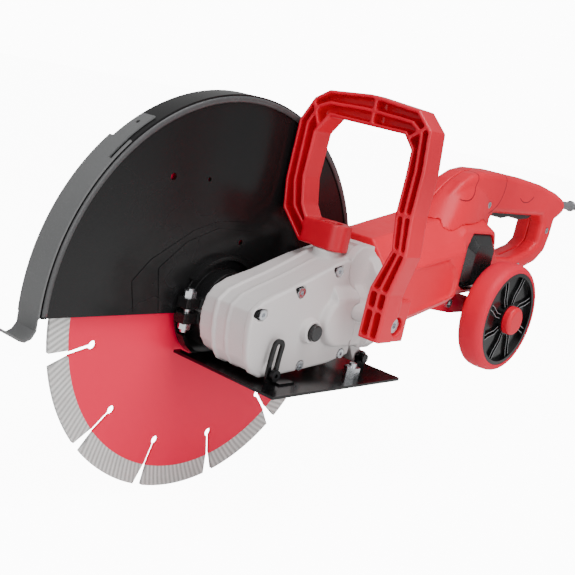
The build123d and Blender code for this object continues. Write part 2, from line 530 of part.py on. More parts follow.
# flare of the handle root over the motor housing
bulb_secs = []
for (x, hw, zt) in ((-206, 27, 101.5), (-216, 35.5, 113.5), (-236, 38.0, 133.5), (-258, 36.5, 150.0), (-282, 32.0, 159.0), (-306, 25.5, 162.3), (-326, 19.2, 163.0)):
    fc = Ellipse(hw, zt - 92) & (Pos(0, (zt - 92) / 2) * Rectangle(2 * hw + 4, zt - 92))
    bulb_secs.append(Plane(origin=(x, YM, 92), x_dir=(0, 1, 0), z_dir=(1, 0, 0)) * fc)
fl = loft(bulb_secs)
hb = hb + fl - mh_out - prism(VENT, 90, 115) - prism(VENT, 9, 34)
# hollow of the grip, and the slot for the trigger
HC = [(-340, 123), (-342, 150), (-384, 152), (-437, 148), (-486, 138), (-488, 130), (-470, 124)]
hb = hb - prism(HC, 49, 75) - box(-447, -345, 53, 71, 112, 130)
hb = hb - (Pos(-500, YM, 134.6) * Rot(0, 90, 0) * Cylinder(5.6, 40))
hb = hb - cyl(5.2, 40, 52, -362, 138)
H_SCREWS = ((-318, 128), (-472, 104), (-420, 60), (-340, 60))
for (x, z) in H_SCREWS:
    hb = hb - cyl(3.75, 76.4, 100, x, z) - cyl(1.8, 49, 77, x, z)
# seam: the handle is two half shells
hl = hb & box(-600, -100, YM, 140, 0, 200)
hr = hb & box(-600, -100, -20, YM, 0, 200)
for name, h in (("rear_handle_left", hl), ("rear_handle_right", hr)):
    if isinstance(h, ShapeList):
        h = Compound(children=[q for q in h if q.volume > 60])
    out(name, h)
TRIG_PIN = (-348.0, 122.0)           # trigger pivot, a pin across the grip
trig = prism([(-347, 126), (-346, 119), (-352, 114.5), (-372, 112.6), (-392, 115.5), (-414, 112.8), (-436, 114.5), (-444, 119), (-444, 126), (-420, 130), (-352, 130)], 53.6, 70.4)
trig = soften(trig, trig.faces().sort_by(Axis.Y)[-1].edges() + trig.faces().sort_by(Axis.Y)[0].edges(), [1.5, 1.0])
trig = trig - cyl(1.6, 50, 74, *TRIG_PIN)
out("trigger", trig)
out("switch_module", box(-436, -374, 50, 74, 137.5, 147))
lockb = cyl(5.0, 38.5, 49.5, -362, 138)
lockb = soften(lockb, lockb.edges().sort_by(Axis.Y)[:1], [1.2, 0.8])
out("lock_button", lockb)

# handle screws, heads sunk in the left shell
hs = []
for (x, z) in H_SCREWS:
    hs.append(cyl(3.6, 76.5, 81.0, x, z) + cyl(1.7, 50, 76.5, x, z) - box(x - 2.4, x + 2.4, 79.6, 82, z - 0.5, z + 0.5) - box(x - 0.5, x + 0.5, 79.6, 82, z - 2.4, z + 2.4))
hs_c = Compound(children=hs)
out("handle_screws", hs_c)

# ---------------------------------------------------------------- top handle
HX0, HX1 = -80.0, -55.0
TO = [(86, 72), (40, 72), (14, 97), (10, 124), (11.5, 180), (24, 202), (39, 211), (85, 214.7), (138, 210), (154, 195), (157, 160), (156, 122),
      (159, 88), (151, 52), (150, 8), (128, 8), (129, 53), (142, 90), (137.5, 121), (138.4, 154), (138, 176), (128, 187.5), (46, 188),
      (34, 172), (32, 130), (37, 106), (44, 96), (86, 96)]
th = prism_yz(TO, HX0, HX1)
th = soften(th, th.faces().sort_by(Axis.X)[-1].edges() + th.faces().sort_by(Axis.X)[0].edges(), [2.5, 1.5, 1.0])
foot_pad = zcyl(12.5, 72, 96, FOOT[0] - 1.5, 74.0) + box(-80, -55, 58, 74, 72, 96)
th = th - box(-90, -40, 66, 100, 60, 110) + foot_pad
# foot of the outer leg reaches back over its bolt
th = th + box(-96, -57, 128, 149.5, 8, 46)
f_in = offset(make_face(Polyline(*[(HX1, p[0], p[1]) for p in TO], close=True)), amount=-3.2, kind=Kind.INTERSECTION)
pocket = extrude(f_in, amount=14.0, dir=(-1, 0, 0))
pocket = Pos(0.01, 0, 0) * pocket
pocket = pocket - box(-90, -40, 42, 100, 60, 110)
CL = [(60, 84), (46, 84), (27, 101.5), (21, 124), (21.8, 178), (31, 195), (42.5, 199.8), (85, 201.4), (133, 199), (145, 191), (147.6, 160),
      (146.8, 122), (150.6, 90), (140.2, 53), (139, 9)]
mid = []
for p, q in zip(CL[:-1], CL[1:]):
    L = math.hypot(q[0] - p[0], q[1] - p[1])
    n = (-(q[1] - p[1]) / L * 1.5, (q[0] - p[0]) / L * 1.5)
    mid.append(prism_yz([(p[0] + n[0], p[1] + n[1]), (q[0] + n[0], q[1] + n[1]), (q[0] - n[0], q[1] - n[1]), (p[0] - n[0], p[1] - n[1])], -82, -50))
CROSS = [((20, 208), (38, 170)), ((92, 220), (92, 184)), ((158, 204), (128, 182)), ((162, 122), (130, 121)), ((164, 88), (134, 92)),
         ((160, 52), (120, 53)), ((160, 36), (120, 36))]
for p, q in CROSS:
    L = math.hypot(q[0] - p[0], q[1] - p[1])
    n = (-(q[1] - p[1]) / L * 1.5, (q[0] - p[0]) / L * 1.5)
    mid.append(prism_yz([(p[0] + n[0], p[1] + n[1]), (q[0] + n[0], q[1] + n[1]), (q[0] - n[0], q[1] - n[1]), (p[0] - n[0], p[1] - n[1])], -82, -50))
pocket = pocket - mid
th = th - pocket
# bolt recess in the inner foot and in the outer foot
th = th - zcyl(9.0, 88, 98, FOOT[0], FOOT[1]) - zcyl(4.2, 70, 98, FOOT[0], FOOT[1])
th = th - cyl(8.6, 141, 152, BOLT[0], BOLT[1]) - cyl(4.2, 120, 152, BOLT[0], BOLT[1])
# the leg's foot is round about the bolt at its lower rear corner
if isinstance(th, ShapeList):
    th = Compound(children=[q for q in th if q.volume > 60])
out("top_handle", th)
foot_bolt = zcyl(6.6, 88, 94.0, *FOOT) + zcyl(3.0, 60, 88, *FOOT) - hexz(5, 91, 95, *FOOT)
side_bolt = cyl(6.6, 141, 146.5, *BOLT) + cyl(4.0, 104, 141, *BOLT) - hexy(5, 143.5, 147, *BOLT)
out("top_handle_bolts", Compound(children=[foot_bolt, side_bolt]))

# ---------------------------------------------------------------- base plate
plate = box(-146, 41, 6, 127, PLATE_Z0, PLATE_Z1) - box(-46, 33, 5, 17, -45, -38)
plate = plate + box(-8, 12, 94, 108, PLATE_Z1 - 0.1, PLATE_Z1 + 1.6)
for (y0, y1) in ((34.6, 37.6), (94.4, 97.4)):
    plate = plate + (cyl(6.5, y0, y1, *HINGE) + box(HINGE[0] - 6.5, HINGE[0] + 6.5, y0, y1, PLATE_Z1 - 0.1, HINGE[1])) - cyl(3.0, y0 - 1, y1 + 1, *HINGE)
plate = soften(plate, plate.edges().filter_by(Axis.Z).sort_by(Axis.X)[:2], [3.0])
out("base_plate", plate)
# slotted bracket, an arc about the plate's hinge
TRAVEL = 10.0
r_s = math.hypot(SLOT_S[0] - HINGE[0], SLOT_S[1] - HINGE[1])
a_s0 = math.atan2(SLOT_S[1] - HINGE[1], SLOT_S[0] - HINGE[0])
arc = [a_s0 + math.radians(TRAVEL + 0.6) * i / 6 - math.radians(0.3) for i in range(7)]


def band(r0, r1, y0, y1):
    pts = [(HINGE[0] + r0 * math.cos(a), HINGE[1] + r0 * math.sin(a)) for a in arc] + [(HINGE[0] + r1 * math.cos(a), HINGE[1] + r1 * math.sin(a)) for a in reversed(arc)]
    return prism(pts, y0, y1)


end0 = (HINGE[0] + r_s * math.cos(arc[0]), HINGE[1] + r_s * math.sin(arc[0]))
end1 = (HINGE[0] + r_s * math.cos(arc[-1]), HINGE[1] + r_s * math.sin(arc[-1]))
br = band(r_s - 7.2, r_s + 7.2, 100, 102.5) + cyl(7.2, 100, 102.5, *end1) + box(end0[0] - 7.3, end0[0] + 7.3, 100, 102.5, PLATE_Z1, end0[1] + 2)
br = br - band(r_s - 3.1, r_s + 3.1, 99, 104) - cyl(3.1, 99, 104, *end0) - cyl(3.1, 99, 104, *end1)
br = br - box(-20, 12.1, 99, 104, -60, PLATE_Z1 + 1.6)
if isinstance(br, ShapeList):
    br = sorted(br, key=lambda q: -q.volume)[0]
out("depth_bracket", br)
out("depth_screw", cyl(5.2, 103.0, 107.0, *SLOT_S) + cyl(2.5, 88, 103.0, *SLOT_S) - hexy(3.6, 105, 108, *SLOT_S))
out("base_hinge_pin", cyl(3.0, 32.5, 99.5, *HINGE) + cyl(4.6, 99.5, 101.5, *HINGE) + cyl(4.6, 31.0, 32.5, *HINGE))
out("base_bolt", hexz(13, PLATE_Z1, PLATE_Z1 + 9.5, -90, 108) + zcyl(3.6, PLATE_Z1 + 9.5, PLATE_Z1 + 13.0, -90, 108))

# ---------------------------------------------------------------- wheels
YC = 62.0
HUBFACE = 145.7
br2 = None
for (y0, y1) in ((90.0, 96.0), (28.0, 34.0)):
    arm = prism([(-312, 12), (-312, 26), (-292, 30), (-266, 34.5), (-224, 25.8), (-224, 17), (-262, 12)], y0, y1)
    br2 = arm if br2 is None else br2 + arm
br2 = br2 + box(-262, -228, 34, 90, 17, 20.5)
br2 = br2 - mh_out - cyl(AXLE_R, 20, 100, WHEEL_X, WHEEL_Z)
if isinstance(br2, ShapeList):
    br2 = Compound(children=[q for q in br2 if q.volume > 60])
out("axle_bracket", br2)
out("bracket_screws", Compound(children=[cyl(5.0, 96.0, 99.5, -252, 24) - hexy(4, 98, 100, -252, 24), cyl(5.0, 24.5, 28.0, -252, 24) - hexy(4, 24, 26, -252, 24)]))
out("axle", cyl(AXLE_R, 2 * YC - 149.0, 149.0, WHEEL_X, WHEEL_Z))


def wheel(side):
    def y(v):
        return v if side > 0 else 2 * YC - v

    def c(r, a, b):
        a, b = sorted((y(a), y(b)))
        return cyl(r, a, b, WHEEL_X, WHEEL_Z)
    hub = c(HUB_R, 119.0, 145.7) - c(46.5, 141.0, 146.5) - c(46.5, 118.0, 123.0)
    hub = hub + c(16.5, 117.0, 145.7)
    rib_set = []
    ya, yb = sorted((y(140.6), y(143.6)))
    for k in range(8):
        a0 = math.radians(45 * k + 12)
        for off in (-2.6, 2.6):
            line = [(15.6, off * 0.8), (25.5, off * 0.9), (36.5, off + 4.2), (47.0, off + 6.0)]
            for p, q in zip(line[:-1], line[1:]):
                L = math.hypot(q[0] - p[0], q[1] - p[1])
                nx, nz = -(q[1] - p[1]) / L * 0.55, (q[0] - p[0]) / L * 0.55
                ex, ez = (q[0] - p[0]) / L * 0.3, (q[1] - p[1]) / L * 0.3
                cs = [(p[0] + nx - ex, p[1] + nz - ez), (q[0] + nx + ex, q[1] + nz + ez), (q[0] - nx + ex, q[1] - nz + ez), (p[0] - nx - ex, p[1] - nz - ez)]
                cs = [(WHEEL_X + c[0] * math.cos(a0) - c[1] * math.sin(a0), WHEEL_Z + c[0] * math.sin(a0) + c[1] * math.cos(a0)) for c in cs]
                rib_set.append(prism(cs, ya, yb))
    hub = hub + rib_set
    if isinstance(hub, ShapeList):
        hub = sorted(hub, key=lambda q: -q.volume)[0]
    hub = hub - c(AXLE_R + 0.05, 110, 150)
    crown = [(HUB_R, 118.4), (52.6, 118.4), (55.6, 119.7), (57.4, 122.4), (58.3, 126.4), (WHEEL_R, 132.3), (58.3, 138.2), (57.4, 142.2), (55.6, 144.9), (52.6, 146.2), (HUB_R, 146.2)]
    pf = make_face(Spline(*[(WHEEL_X + p[0], y(p[1]), WHEEL_Z) for p in crown[1:-1]], tangents=None)
                   + Polyline((WHEEL_X + crown[-2][0], y(crown[-2][1]), WHEEL_Z), (WHEEL_X + crown[-1][0], y(crown[-1][1]), WHEEL_Z),
                              (WHEEL_X + crown[0][0], y(crown[0][1]), WHEEL_Z), (WHEEL_X + crown[1][0], y(crown[1][1]), WHEEL_Z)))
    tyre = revolve(pf, axis=Axis((WHEEL_X, 0, WHEEL_Z), (0, 1, 0)), revolution_arc=360)
    cap = c(15.0, 146.0, 155.0)
    ce = cap.edges().filter_by(GeomType.CIRCLE)
    ce = ce.sort_by(Axis.Y)[-1:] if side > 0 else ce.sort_by(Axis.Y)[:1]
    cap = soften(cap, ce, [4.0, 3.0])
    cap = cap - c(AXLE_R + 0.05, 145, 149.3)
    return hub, tyre, cap


for side, nm in ((1, "left"), (-1, "right")):
    h, t, c = wheel(side)
    out("wheel_hub_" + nm, h)
    out("wheel_tyre_" + nm, t)
    out("wheel_cap_" + nm, c)

# ---------------------------------------------------------------- cord
# strain relief: tapered sleeve with a flared lip, then a rubber flex that
# sweeps out and down to the floor level and is put away in a tied coil
SR_Z = 134.6
sr = (Pos(-497, YM, SR_Z) * Rot(0, -90, 0) * Cylinder(5.6, 20)) + (Pos(-531.5, YM, SR_Z) * Rot(0, -90, 0) * Cone(5.6, 4.9, 49)) \
    + (Pos(-557.5, YM, SR_Z) * Rot(0, -90, 0) * Cone(4.9, 7.0, 3)) + (Pos(-560, YM, SR_Z) * Rot(0, -90, 0) * Cylinder(7.0, 2))
sr = sr - (Pos(-520, YM, SR_Z) * Rot(0, 90, 0) * Cylinder(CORD_R, 100))
out("strain_relief", sr)
ROUTE = [(-533, 62, 134.6), (-561, 62, 134.6), (-589, 62, 133.2), (-629, 64, 117), (-659, 68, 80), (-676, 74, 32), (-687, 79, -19),
         (-697, 85, -69), (-709, 94, -115), (-722, 113, -151), (-731, 153, -170), (-733, 203, FLOOR_Z + CORD_R + 0.05)]
CORD_LENGTH = 2000.0
COIL_R = 46.5                        # mean radius of the coil
COIL_RO, COIL_RI = 57.5, 36.0
COIL_H = 26.0


def vsub(a, b):
    return tuple(a[i] - b[i] for i in range(3))


def vlen(a):
    return math.sqrt(sum(c * c for c in a))


radii = []
for a, b, c in zip(ROUTE[:-2], ROUTE[1:-1], ROUTE[2:]):
    u, v = vsub(b, a), vsub(c, b)
    turn = math.radians(Vector(*u).get_angle(Vector(*v)))
    radii.append(0.45 * min(vlen(u), vlen(v)) / math.tan(turn / 2))
print("cord bend radii", [round(r, 1) for r in radii], "least allowed about", 5 * CORD_D)
path = FilletPolyline(*ROUTE, radius=radii)
tubef = Plane(origin=ROUTE[0], z_dir=(-1, 0, 0)) * Circle(CORD_R)
flex = sweep(tubef, path=path)
print("cord tube volume %.0f, section times length %.0f, length %.1f" % (flex.volume, math.pi * CORD_R ** 2 * path.length, path.length))
out("power_cord", flex)
u = vsub(ROUTE[-1], ROUTE[-2])
uh = math.hypot(u[0], u[1])
u = (u[0] / uh, u[1] / uh)
KX, KY = ROUTE[-1][0] + COIL_R * u[1], ROUTE[-1][1] - COIL_R * u[0]
ring = Pos(KX, KY, FLOOR_Z + 1.7 + COIL_H / 2) * (Cylinder(COIL_RO, COIL_H) - Cylinder(COIL_RI, COIL_H + 2))
ring = soften(ring, ring.edges().filter_by(GeomType.CIRCLE), [4.0, 3.0])
out("cord_coil", ring)
# the tail leaves the coil at its far side, at the height of the plug's middle
TZ = FLOOR_Z + 19.0
TAIL = 34.0                          # along -X
TY = KY - COIL_R
tail = Pos(KX - 20 - TAIL / 2, TY, TZ) * Rot(0, 90, 0) * Cylinder(CORD_R, TAIL)
out("cord_tail", tail)
PX = KX - 20 - TAIL
plug = Pos(PX - 9, TY, TZ) * Rot(0, -90, 0) * Cone(6.5, 9.5, 18) + Pos(PX - 24, TY, TZ) * Rot(0, -90, 0) * Cone(9.5, 18.2, 12) \
    + Pos(PX - 40, TY, TZ) * Rot(0, -90, 0) * Cylinder(18.2, 20)
out("plug_body", plug)
pins = Compound(children=[Pos(PX - 59.5, TY + sx * 9.5, TZ) * Rot(0, 90, 0) * Cylinder(2.4, 19) for sx in (1, -1)])
out("plug_pins", pins)
ta = math.radians(250)
tie = Pos(KX + 46.75 * math.cos(ta), KY + 46.75 * math.sin(ta), FLOOR_Z + 1.7 + COIL_H / 2) * Rot(0, 0, 250) * (Box(26.0, 9, 29.2) - Box(23.2, 11, 26.4))
out("cord_tie", tie)
free = path.length
print("coil centre", KX, KY, "turns", (CORD_LENGTH - free - TAIL) / (2 * math.pi * COIL_R), "free", free)
print("plug", PX, TY, TZ)
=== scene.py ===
import bpy
import bmesh
import math
from mathutils import Vector, Matrix


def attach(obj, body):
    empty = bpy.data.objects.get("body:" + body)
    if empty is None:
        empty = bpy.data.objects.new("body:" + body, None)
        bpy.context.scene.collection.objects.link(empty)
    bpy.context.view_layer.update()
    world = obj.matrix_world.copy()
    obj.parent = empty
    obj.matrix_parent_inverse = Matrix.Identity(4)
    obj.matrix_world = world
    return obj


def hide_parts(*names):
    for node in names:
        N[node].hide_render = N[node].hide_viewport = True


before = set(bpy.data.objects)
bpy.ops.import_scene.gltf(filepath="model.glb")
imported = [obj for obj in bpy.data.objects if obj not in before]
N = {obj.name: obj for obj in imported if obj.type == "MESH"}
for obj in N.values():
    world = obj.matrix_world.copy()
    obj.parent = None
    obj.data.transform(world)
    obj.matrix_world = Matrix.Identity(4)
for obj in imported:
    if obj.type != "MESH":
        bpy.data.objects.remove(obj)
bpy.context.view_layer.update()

GRIP = Vector((-67.5, 95.0, 201.0))


def P(x, y, z):
    """A point laid out from the blade spindle, in mm, as a point of the row frame in metres."""
    return (Vector((x, y, z)) - GRIP) / 1000.0


# ------------------------------------------------------------------ camera
AZ, EL, ROLL = 0.8962403, 0.1940638, 0.2146327
F_PX = 997.4748
DIST = 993.014
TARGET = Vector((-106.0044, 0.0, 13.8980))
fwd = -Vector((math.sin(AZ) * math.cos(EL), math.cos(AZ) * math.cos(EL), math.sin(EL)))
eye = TARGET - fwd * DIST
right0 = fwd.cross(Vector((0, 0, 1))).normalized()
up0 = right0.cross(fwd)
right = right0 * math.cos(ROLL) + up0 * math.sin(ROLL)
up = up0 * math.cos(ROLL) - right0 * math.sin(ROLL)
cam_data = bpy.data.cameras.new("camera")
cam = bpy.data.objects.new("camera", cam_data)
bpy.context.scene.collection.objects.link(cam)
cam_data.sensor_width = 36.0
cam_data.lens = 36.0 * F_PX / 575.0
cam_data.clip_start = 0.01
cam_data.clip_end = 100.0
rot = Matrix((right, up, -fwd)).transposed()
cam.matrix_world = Matrix.Translation(P(*eye)) @ rot.to_4x4()
bpy.context.scene.camera = cam

# ------------------------------------------------------------------ materials


# moulding seams of the rear grip
SEAMS = [(-251, 163, 32, -290, -246, 128, 168), (-312, 150, 31.5, -348, -317, 117, 166), (-398, 160, 25, -416, -384, 130, 146)]


def new_mat(name):
    m = bpy.data.materials.new(name)
    m.use_nodes = True
    nt = m.node_tree
    b = nt.nodes["Principled BSDF"]
    return m, nt, b


def coords(nt, scale=1.0):
    tc = nt.nodes.new("ShaderNodeTexCoord")
    return tc.outputs["Object"]


def noise(nt, vec, scale, detail=4.0, rough=0.55, dist=0.0):
    n = nt.nodes.new("ShaderNodeTexNoise")
    nt.links.new(vec, n.inputs["Vector"])
    n.inputs["Scale"].default_value = scale
    n.inputs["Detail"].default_value = detail
    n.inputs["Roughness"].default_value = rough
    n.inputs["Distortion"].default_value = dist
    return n.outputs["Fac"]


def ramp(nt, fac, stops):
    r = nt.nodes.new("ShaderNodeValToRGB")
    el = r.color_ramp.elements
    while len(el) < len(stops):
        el.new(0.5)
    for e, (p, c) in zip(el, stops):
        e.position = p
        e.color = (c, c, c, 1) if isinstance(c, (int, float)) else (*c, 1)
    nt.links.new(fac, r.inputs["Fac"])
    return r.outputs["Color"]


def mapr(nt, fac, a, b, lo=0.0, hi=1.0):
    m = nt.nodes.new("ShaderNodeMapRange")
    nt.links.new(fac, m.inputs["Value"])
    m.inputs["From Min"].default_value = lo
    m.inputs["From Max"].default_value = hi
    m.inputs["To Min"].default_value = a
    m.inputs["To Max"].default_value = b
    return m.outputs["Result"]


def mixc(nt, fac, a, b, blend="MIX"):
    m = nt.nodes.new("ShaderNodeMix")
    m.data_type = "RGBA"
    m.blend_type = blend
    if isinstance(fac, (int, float)):
        m.inputs["Factor"].default_value = fac
    else:
        nt.links.new(fac, m.inputs["Factor"])
    for sock, v in ((m.inputs["A"], a), (m.inputs["B"], b)):
        if isinstance(v, tuple):
            sock.default_value = (*v, 1)
        else:
            nt.links.new(v, sock)
    return m.outputs["Result"]


def bump(nt, b, height, strength=0.3, distance=0.0004, prev=None):
    n = nt.nodes.new("ShaderNodeBump")
    n.inputs["Strength"].default_value = strength
    n.inputs["Distance"].default_value = distance
    nt.links.new(height, n.inputs["Height"])
    if prev is not None:
        nt.links.new(prev, n.inputs["Normal"])
    nt.links.new(n.outputs["Normal"], b.inputs["Normal"])
    return n.outputs["Normal"]


def edge_wear(nt, radius=0.0012):
    """A mask that is high along convex edges."""
    g = nt.nodes.new("ShaderNodeNewGeometry")
    return mapr(nt, g.outputs["Pointiness"], 0.0, 1.0, 0.52, 0.60)


def seam_mask(nt, vec, seams):
    """1 over the skin, dropping to 0 in thin moulding seams: each seam is a part of a
    circle (x, z, radius, lowest x, highest x, lowest z, highest z) seen from the side."""
    sep = nt.nodes.new("ShaderNodeSeparateXYZ")
    nt.links.new(vec, sep.inputs[0])

    def op(kind, a, b=None):
        n = nt.nodes.new("ShaderNodeMath")
        n.operation = kind
        for i, v in enumerate((a, b)):
            if v is None:
                continue
            if isinstance(v, (int, float)):
                n.inputs[i].default_value = v
            else:
                nt.links.new(v, n.inputs[i])
        return n.outputs[0]
    total = None
    for (cx, cz, rad, x0, x1, z0, z1) in seams:
        o, lo_, hi_ = P(cx, 0, cz), P(x0, 0, z0), P(x1, 0, z1)
        dx = op("SUBTRACT", sep.outputs["X"], o.x)
        dz = op("SUBTRACT", sep.outputs["Z"], o.z)
        d = op("SQRT", op("ADD", op("MULTIPLY", dx, dx), op("MULTIPLY", dz, dz)))
        d = op("ABSOLUTE", op("SUBTRACT", d, rad / 1000.0))
        near = op("LESS_THAN", d, 0.00045)
        for test in (op("GREATER_THAN", sep.outputs["X"], lo_.x), op("LESS_THAN", sep.outputs["X"], hi_.x),
                     op("GREATER_THAN", sep.outputs["Z"], lo_.z), op("LESS_THAN", sep.outputs["Z"], hi_.z)):
            near = op("MULTIPLY", near, test)
        total = near if total is None else op("MAXIMUM", total, near)
    return op("SUBTRACT", 1.0, total)


def plastic(name, col, dark, rough=0.42, grain=900.0, grain_s=0.12, coat=0.0, spec=0.5, lift=0.006, seams=()):
    m, nt, b = new_mat(name)
    v = coords(nt)
    f = noise(nt, v, 6.0, 3.0)
    c = mixc(nt, mapr(nt, f, 0.0, 1.0, 0.35, 0.65), dark, col)
    scuff = noise(nt, v, 55.0, 6.0, 0.7, 0.4)
    c = mixc(nt, mapr(nt, scuff, 0.0, 0.16, 0.58, 0.88), c, tuple(min(1.0, k * 1.12 + lift) for k in col))
    nt.links.new(c, b.inputs["Base Color"])
    r = mapr(nt, scuff, rough - 0.05, rough + 0.10, 0.3, 0.75)
    nt.links.new(r, b.inputs["Roughness"])
    g = noise(nt, v, grain, 2.0, 0.5)
    prev = bump(nt, b, g, grain_s, 0.0002)
    if seams:
        line = seam_mask(nt, v, seams)
        bump(nt, b, line, 1.0, 0.0012, prev)
        c = mixc(nt, mapr(nt, line, 0.0, 1.0, 1.0, 0.0), c, tuple(k * 0.22 for k in dark))
        nt.links.new(c, b.inputs["Base Color"])
    b.inputs["Coat Weight"].default_value = coat
    b.inputs["Coat Roughness"].default_value = 0.25
    b.inputs["Specular IOR Level"].default_value = spec
    return m


def powder(name, col, speck, rough=0.5, metallic=0.0, speck_amt=0.5, grain=1400.0, bump_s=0.25, coat=0.0, spec=0.5):
    m, nt, b = new_mat(name)
    v = coords(nt)
    f = noise(nt, v, 9.0, 3.0)
    c = mixc(nt, mapr(nt, f, 0.0, 0.35, 0.4, 0.7), col, tuple(min(1.0, k * 1.2 + 0.001) for k in col))
    b.inputs["Specular IOR Level"].default_value = spec
    s = noise(nt, v, grain, 2.0, 0.5)
    c = mixc(nt, mapr(nt, s, 0.0, speck_amt, 0.56, 0.68), c, speck)
    nt.links.new(c, b.inputs["Base Color"])
    r = mapr(nt, f, rough - 0.06, rough + 0.08, 0.3, 0.7)
    nt.links.new(r, b.inputs["Roughness"])
    b.inputs["Metallic"].default_value = metallic
    g = noise(nt, v, grain * 0.6, 3.0, 0.6)
    bump(nt, b, g, bump_s, 0.0002)
    b.inputs["Coat Weight"].default_value = coat
    b.inputs["Coat Roughness"].default_value = 0.12
    return m


def metal(name, col, rough=0.3, aniso=0.0, brushed=None, tint=0.12, grain=600.0):
    m, nt, b = new_mat(name)
    v = coords(nt)
    if brushed is not None:
        mp = nt.nodes.new("ShaderNodeMapping")
        mp.inputs["Scale"].default_value = brushed
        nt.links.new(v, mp.inputs["Vector"])
        v2 = mp.outputs["Vector"]
    else:
        v2 = v
    f = noise(nt, v2, grain, 4.0, 0.6)
    big = noise(nt, v, 14.0, 4.0, 0.6)
    c = mixc(nt, mapr(nt, big, 0.0, tint * 3, 0.35, 0.75), col, tuple(k * 0.72 for k in col))
    nt.links.new(c, b.inputs["Base Color"])
    b.inputs["Metallic"].default_value = 1.0
    r = mapr(nt, f, rough - 0.07, rough + 0.12, 0.25, 0.75)
    nt.links.new(r, b.inputs["Roughness"])
    bump(nt, b, f, 0.12, 0.0001)
    return m


RED = (0.90, 0.0010, 0.030)
RED_D = (0.72, 0.0005, 0.022)
M = {}
M["red_plastic"] = plastic("moulded_red", RED, RED_D, 0.36, 1100.0, 0.10, 0.06, 0.35, 0.004)
M["red_grip"] = plastic("moulded_red_grip", RED, RED_D, 0.38, 1100.0, 0.10, 0.06, 0.35, 0.004, SEAMS)
M["red_handle"] = plastic("moulded_red_handle", (0.80, 0.0006, 0.026), (0.60, 0.0003, 0.018), 0.34, 1300.0, 0.08, 0.15, 0.40, 0.003)
M["black_plastic"] = plastic("moulded_black", (0.010, 0.010, 0.011), (0.005, 0.005, 0.0055), 0.26, 900.0, 0.08, 0.2, 0.5, 0.004)
M["hub_black"] = plastic("hub_black", (0.006, 0.006, 0.0065), (0.003, 0.003, 0.0035), 0.20, 900.0, 0.05, 0.1, 0.4, 0.002)
# light grey for the hub rib crests: painted highlight
M["rib_grey"] = plastic("rib_crest_painted_highlight", (0.34, 0.34, 0.35), (0.16, 0.16, 0.17), 0.35, 1200.0, 0.10, 0.0, 0.5, 0.02)
M["red_rubber"] = plastic("polyurethane_red", (0.86, 0.003, 0.040), (0.70, 0.001, 0.030), 0.50, 700.0, 0.20, 0.0, 0.35, 0.006)
M["black_rubber"] = plastic("rubber_black", (0.018, 0.018, 0.020), (0.010, 0.010, 0.011), 0.55, 900.0, 0.25, 0.0, 0.35, 0.006)
# strain relief: black rubber coloured mid grey, a painted highlight
M["relief_painted_highlight"] = plastic("painted_highlight_strain_relief", (0.20, 0.20, 0.21), (0.10, 0.10, 0.11), 0.34, 1000.0, 0.12, 0.1, 0.5, 0.03)
# near-black sheet material for the cover's screw pockets and screw rings: painted shade in the recesses
M["pocket"] = plastic("shadowed_pocket", (0.006, 0.006, 0.006), (0.003, 0.003, 0.003), 0.7, 700.0, 0.2, 0.0, 0.2, 0.003)
M["cast"] = powder("cast_light_grey", (0.70, 0.665, 0.66), (0.50, 0.47, 0.465), 0.46, 0.0, 0.26, 1000.0, 0.20)
M["guard_black"] = powder("powder_black", (0.0085, 0.0085, 0.0088), (0.020, 0.020, 0.021), 0.25, 0.0, 0.30, 1700.0, 0.10, 0.0, 0.32)
# lighter black for the guard's rolled bead: painted highlight
M["guard_edge"] = powder("powder_black_painted_highlight", (0.060, 0.060, 0.062), (0.16, 0.16, 0.165), 0.34, 0.0, 0.45, 1500.0, 0.12, 0.1, 0.5)
M["guard_grey"] = powder("powder_grey", (0.135, 0.137, 0.138), (0.24, 0.245, 0.25), 0.46, 0.0, 0.40, 1500.0, 0.30, 0.0, 0.45)
M["plate_black"] = powder("enamel_black", (0.003, 0.003, 0.0033), (0.008, 0.008, 0.009), 0.20, 0.0, 0.2, 500.0, 0.04, 0.0, 0.35)
M["core_red"] = powder("core_enamel_red", (1.0, 0.0010, 0.060), (1.0, 0.006, 0.070), 0.42, 0.0, 0.25, 700.0, 0.06, 0.0, 0.30)
M["red_metal"] = powder("bracket_red", (0.82, 0.001, 0.040), (0.88, 0.006, 0.048), 0.38, 0.0, 0.25, 900.0, 0.10, 0.1, 0.35)
M["steel"] = metal("ground_steel", (0.62, 0.62, 0.63), 0.28)
M["zinc"] = metal("zinc_plate", (0.72, 0.74, 0.77), 0.24)
M["dark_steel"] = metal("blackened_steel", (0.045, 0.045, 0.047), 0.38)
M["bright"] = metal("bearing_steel", (0.78, 0.78, 0.79), 0.16)
M["copper"] = metal("winding_wire", (0.70, 0.30, 0.14), 0.34, brushed=(1, 1, 1), grain=1800.0)
M["lamination"] = metal("stacked_sheet", (0.42, 0.42, 0.44), 0.42, brushed=(40, 1, 1), grain=120.0)
M["brass"] = metal("plated_brass", (0.78, 0.62, 0.34), 0.25)
M["carbon"] = plastic("pressed_carbon", (0.035, 0.035, 0.036), (0.02, 0.02, 0.02), 0.62, 1600.0, 0.3)


